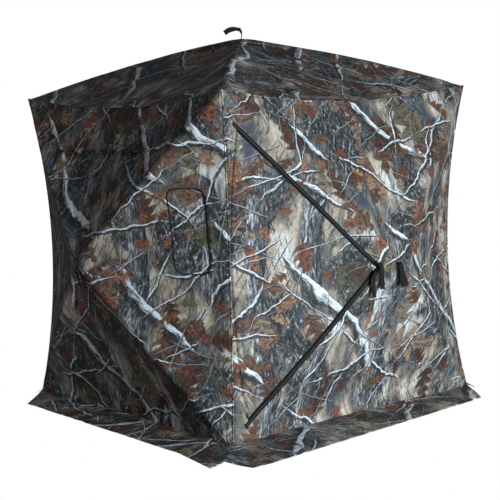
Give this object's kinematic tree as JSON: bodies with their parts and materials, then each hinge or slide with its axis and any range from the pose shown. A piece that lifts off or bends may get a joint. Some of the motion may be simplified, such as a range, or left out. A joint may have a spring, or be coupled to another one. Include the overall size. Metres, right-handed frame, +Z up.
{
  "type": "pop up ground blind",
  "caption": "Square hub-style pop up ground blind with woodland camouflage walls, a triangular zip door, shaded windows and ground skirts",
  "frame": {"origin": "on the ground at the middle of the footprint", "axes": "+Z up; +X is outward through the door wall; -Y is outward through the window wall"},
  "size_m": [2.106, 2.042, 1.755],
  "materials": {
    "wall_cloth": "woodland print on matt woven polyester",
    "roof_cloth": "woodland print on matt woven polyester",
    "door_cloth": "woodland print on matt woven polyester",
    "skirt_cloth": "woodland print, darker, on matt woven polyester",
    "window_mesh": "printed fine mesh",
    "webbing": "black woven webbing",
    "zip_tape": "black zip tape with moulded teeth",
    "zip_slider_metal": "black enamel",
    "toggle_plastic": "black moulded",
    "hub_plastic": "black glass-filled nylon",
    "hub_cover": "black glass-filled nylon",
    "steel_pin": "zinc plated",
    "glass_fibre_rod": "black pultruded glass fibre",
    "pocket_webbing": "black reinforcing cloth",
    "brass_grommet": "dull brass"
  },
  "bodies": {
    "shell": {"door_wall": "wall_cloth", "back_wall": "wall_cloth", "side_wall": "wall_cloth", "window_wall": "wall_cloth", "roof_canopy": "roof_cloth", "door_skirt": "skirt_cloth", "back_skirt": "skirt_cloth", "side_skirt": "skirt_cloth", "window_skirt": "skirt_cloth", "corner_pockets": "pocket_webbing", "stake_grommets": "brass_grommet", "window_curtain": "wall_cloth", "window_toggles": "toggle_plastic", "slot_window_mesh": "window_mesh"},
    "door_hub": {"door_hub": "hub_plastic", "door_hub_cover": "hub_cover", "door_hub_pins": "steel_pin", "door_hub_strap": "webbing"},
    "door_rod_upper_right": {"door_rod_upper_right": "glass_fibre_rod"},
    "door_rod_upper_left": {"door_rod_upper_left": "glass_fibre_rod"},
    "door_rod_lower_left": {"door_rod_lower_left": "glass_fibre_rod"},
    "door_rod_lower_right": {"door_rod_lower_right": "glass_fibre_rod"},
    "back_hub": {"back_hub": "hub_plastic", "back_hub_cover": "hub_cover", "back_hub_pins": "steel_pin", "back_hub_strap": "webbing"},
    "back_rod_upper_right": {"back_rod_upper_right": "glass_fibre_rod"},
    "back_rod_upper_left": {"back_rod_upper_left": "glass_fibre_rod"},
    "back_rod_lower_left": {"back_rod_lower_left": "glass_fibre_rod"},
    "back_rod_lower_right": {"back_rod_lower_right": "glass_fibre_rod"},
    "side_hub": {"side_hub": "hub_plastic", "side_hub_cover": "hub_cover", "side_hub_pins": "steel_pin", "side_hub_strap": "webbing"},
    "side_rod_upper_right": {"side_rod_upper_right": "glass_fibre_rod"},
    "side_rod_upper_left": {"side_rod_upper_left": "glass_fibre_rod"},
    "side_rod_lower_left": {"side_rod_lower_left": "glass_fibre_rod"},
    "side_rod_lower_right": {"side_rod_lower_right": "glass_fibre_rod"},
    "window_hub": {"window_hub": "hub_plastic", "window_hub_cover": "hub_cover", "window_hub_pins": "steel_pin", "window_hub_strap": "webbing"},
    "window_rod_upper_right": {"window_rod_upper_right": "glass_fibre_rod"},
    "window_rod_upper_left": {"window_rod_upper_left": "glass_fibre_rod"},
    "window_rod_lower_left": {"window_rod_lower_left": "glass_fibre_rod"},
    "window_rod_lower_right": {"window_rod_lower_right": "glass_fibre_rod"},
    "roof_hub": {"roof_hub": "hub_plastic", "roof_hub_cover": "hub_cover", "roof_hub_pins": "steel_pin", "roof_hub_strap": "webbing"},
    "roof_rod_upper_right": {"roof_rod_upper_right": "glass_fibre_rod"},
    "roof_rod_upper_left": {"roof_rod_upper_left": "glass_fibre_rod"},
    "roof_rod_lower_left": {"roof_rod_lower_left": "glass_fibre_rod"},
    "roof_rod_lower_right": {"roof_rod_lower_right": "glass_fibre_rod"},
    "door_surround": {"door_zip_tape": "zip_tape"},
    "door": {"door_panel": "door_cloth"},
    "upper_slider": {"upper_zip_slider": "zip_slider_metal", "upper_zip_strap": "webbing"},
    "lower_slider": {"lower_zip_slider": "zip_slider_metal", "lower_zip_strap": "webbing"}
  },
  "joints": [
    {"name": "door_hub_pop", "type": "slide", "parent": "shell", "child": "door_hub", "axis": [-1, 0, 0], "range_m": [0, 0.454], "deforming": ["door_wall"]},
    {"name": "door_rod_upper_right_pivot", "type": "hinge", "parent": "door_hub", "child": "door_rod_upper_right", "pos_m": [0.942, 0.02857, 0.75299], "axis": [0, 0.6998, -0.7143], "range_deg": [0, 27.89]},
    {"name": "door_rod_upper_left_pivot", "type": "hinge", "parent": "door_hub", "child": "door_rod_upper_left", "pos_m": [0.942, -0.02857, 0.75299], "axis": [0, 0.6998, 0.7143], "range_deg": [0, 27.89]},
    {"name": "door_rod_lower_left_pivot", "type": "hinge", "parent": "door_hub", "child": "door_rod_lower_left", "pos_m": [0.942, -0.02857, 0.69701], "axis": [0, -0.6998, 0.7143], "range_deg": [0, 27.89]},
    {"name": "door_rod_lower_right_pivot", "type": "hinge", "parent": "door_hub", "child": "door_rod_lower_right", "pos_m": [0.942, 0.02857, 0.69701], "axis": [0, -0.6998, -0.7143], "range_deg": [0, 27.89]},
    {"name": "back_hub_pop", "type": "slide", "parent": "shell", "child": "back_hub", "axis": [0, -1, 0], "range_m": [0, 0.454], "deforming": ["back_wall"]},
    {"name": "back_rod_upper_right_pivot", "type": "hinge", "parent": "back_hub", "child": "back_rod_upper_right", "pos_m": [-0.02857, 0.942, 0.75299], "axis": [-0.6998, 0, -0.7143], "range_deg": [0, 27.89]},
    {"name": "back_rod_upper_left_pivot", "type": "hinge", "parent": "back_hub", "child": "back_rod_upper_left", "pos_m": [0.02857, 0.942, 0.75299], "axis": [-0.6998, 0, 0.7143], "range_deg": [0, 27.89]},
    {"name": "back_rod_lower_left_pivot", "type": "hinge", "parent": "back_hub", "child": "back_rod_lower_left", "pos_m": [0.02857, 0.942, 0.69701], "axis": [0.6998, 0, 0.7143], "range_deg": [0, 27.89]},
    {"name": "back_rod_lower_right_pivot", "type": "hinge", "parent": "back_hub", "child": "back_rod_lower_right", "pos_m": [-0.02857, 0.942, 0.69701], "axis": [0.6998, 0, -0.7143], "range_deg": [0, 27.89]},
    {"name": "side_hub_pop", "type": "slide", "parent": "shell", "child": "side_hub", "axis": [1, 0, 0], "range_m": [0, 0.454], "deforming": ["side_wall"]},
    {"name": "side_rod_upper_right_pivot", "type": "hinge", "parent": "side_hub", "child": "side_rod_upper_right", "pos_m": [-0.942, -0.02857, 0.75299], "axis": [0, -0.6998, -0.7143], "range_deg": [0, 27.89]},
    {"name": "side_rod_upper_left_pivot", "type": "hinge", "parent": "side_hub", "child": "side_rod_upper_left", "pos_m": [-0.942, 0.02857, 0.75299], "axis": [0, -0.6998, 0.7143], "range_deg": [0, 27.89]},
    {"name": "side_rod_lower_left_pivot", "type": "hinge", "parent": "side_hub", "child": "side_rod_lower_left", "pos_m": [-0.942, 0.02857, 0.69701], "axis": [0, 0.6998, 0.7143], "range_deg": [0, 27.89]},
    {"name": "side_rod_lower_right_pivot", "type": "hinge", "parent": "side_hub", "child": "side_rod_lower_right", "pos_m": [-0.942, -0.02857, 0.69701], "axis": [0, 0.6998, -0.7143], "range_deg": [0, 27.89]},
    {"name": "window_hub_pop", "type": "slide", "parent": "shell", "child": "window_hub", "axis": [0, 1, 0], "range_m": [0, 0.454], "deforming": ["window_wall", "window_curtain", "window_toggles", "slot_window_mesh"]},
    {"name": "window_rod_upper_right_pivot", "type": "hinge", "parent": "window_hub", "child": "window_rod_upper_right", "pos_m": [0.02857, -0.942, 0.75299], "axis": [0.6998, 0, -0.7143], "range_deg": [0, 27.89]},
    {"name": "window_rod_upper_left_pivot", "type": "hinge", "parent": "window_hub", "child": "window_rod_upper_left", "pos_m": [-0.02857, -0.942, 0.75299], "axis": [0.6998, 0, 0.7143], "range_deg": [0, 27.89]},
    {"name": "window_rod_lower_left_pivot", "type": "hinge", "parent": "window_hub", "child": "window_rod_lower_left", "pos_m": [-0.02857, -0.942, 0.69701], "axis": [-0.6998, 0, 0.7143], "range_deg": [0, 27.89]},
    {"name": "window_rod_lower_right_pivot", "type": "hinge", "parent": "window_hub", "child": "window_rod_lower_right", "pos_m": [0.02857, -0.942, 0.69701], "axis": [-0.6998, 0, -0.7143], "range_deg": [0, 27.89]},
    {"name": "roof_hub_pop", "type": "slide", "parent": "shell", "child": "roof_hub", "axis": [0, 0, -1], "range_m": [0, 0.484], "deforming": ["roof_canopy"]},
    {"name": "roof_rod_upper_right_pivot", "type": "hinge", "parent": "roof_hub", "child": "roof_rod_upper_right", "pos_m": [0.02828, 0.02828, 1.667], "axis": [0.7071, -0.7071, 0], "range_deg": [0, 29.33]},
    {"name": "roof_rod_upper_left_pivot", "type": "hinge", "parent": "roof_hub", "child": "roof_rod_upper_left", "pos_m": [-0.02828, 0.02828, 1.667], "axis": [0.7071, 0.7071, 0], "range_deg": [0, 29.33]},
    {"name": "roof_rod_lower_left_pivot", "type": "hinge", "parent": "roof_hub", "child": "roof_rod_lower_left", "pos_m": [-0.02828, -0.02828, 1.667], "axis": [-0.7071, 0.7071, 0], "range_deg": [0, 29.33]},
    {"name": "roof_rod_lower_right_pivot", "type": "hinge", "parent": "roof_hub", "child": "roof_rod_lower_right", "pos_m": [0.02828, -0.02828, 1.667], "axis": [-0.7071, -0.7071, 0], "range_deg": [0, 29.33]},
    {"name": "door_surround_follow", "type": "hinge", "parent": "shell", "child": "door_surround", "pos_m": [0.72, -0.675, 0.725], "axis": [0, 0, -1], "range_deg": [-40, 0]},
    {"name": "door_swing", "type": "hinge", "parent": "door_surround", "child": "door", "pos_m": [0.72, -0.675, 0.725], "axis": [0, 0, -1], "range_deg": [0, 120]},
    {"name": "upper_zip_run", "type": "slide", "parent": "door_surround", "child": "upper_slider", "axis": [-0.2357, -0.6767, 0.6975], "range_m": [0, 0.816]},
    {"name": "lower_zip_run", "type": "slide", "parent": "door_surround", "child": "lower_slider", "axis": [-0.2294, -0.6842, -0.6923], "range_m": [0, 0.807]}
  ],
  "couplings": [
    {"joint": "door_rod_upper_right_pivot", "follows": "door_hub_pop", "rad_per_m": 1.0646},
    {"joint": "door_rod_upper_left_pivot", "follows": "door_hub_pop", "rad_per_m": 1.0646},
    {"joint": "door_rod_lower_left_pivot", "follows": "door_hub_pop", "rad_per_m": 1.0646},
    {"joint": "door_rod_lower_right_pivot", "follows": "door_hub_pop", "rad_per_m": 1.0646},
    {"joint": "back_rod_upper_right_pivot", "follows": "back_hub_pop", "rad_per_m": 1.0646},
    {"joint": "back_rod_upper_left_pivot", "follows": "back_hub_pop", "rad_per_m": 1.0646},
    {"joint": "back_rod_lower_left_pivot", "follows": "back_hub_pop", "rad_per_m": 1.0646},
    {"joint": "back_rod_lower_right_pivot", "follows": "back_hub_pop", "rad_per_m": 1.0646},
    {"joint": "side_rod_upper_right_pivot", "follows": "side_hub_pop", "rad_per_m": 1.0646},
    {"joint": "side_rod_upper_left_pivot", "follows": "side_hub_pop", "rad_per_m": 1.0646},
    {"joint": "side_rod_lower_left_pivot", "follows": "side_hub_pop", "rad_per_m": 1.0646},
    {"joint": "side_rod_lower_right_pivot", "follows": "side_hub_pop", "rad_per_m": 1.0646},
    {"joint": "window_rod_upper_right_pivot", "follows": "window_hub_pop", "rad_per_m": 1.0646},
    {"joint": "window_rod_upper_left_pivot", "follows": "window_hub_pop", "rad_per_m": 1.0646},
    {"joint": "window_rod_lower_left_pivot", "follows": "window_hub_pop", "rad_per_m": 1.0646},
    {"joint": "window_rod_lower_right_pivot", "follows": "window_hub_pop", "rad_per_m": 1.0646},
    {"joint": "roof_rod_upper_right_pivot", "follows": "roof_hub_pop", "rad_per_m": 1.0503},
    {"joint": "roof_rod_upper_left_pivot", "follows": "roof_hub_pop", "rad_per_m": 1.0503},
    {"joint": "roof_rod_lower_left_pivot", "follows": "roof_hub_pop", "rad_per_m": 1.0503},
    {"joint": "roof_rod_lower_right_pivot", "follows": "roof_hub_pop", "rad_per_m": 1.0503},
    {"joint": "door_surround_follow", "follows": "door_hub_pop", "rad_per_m": -1.5128}
  ]
}
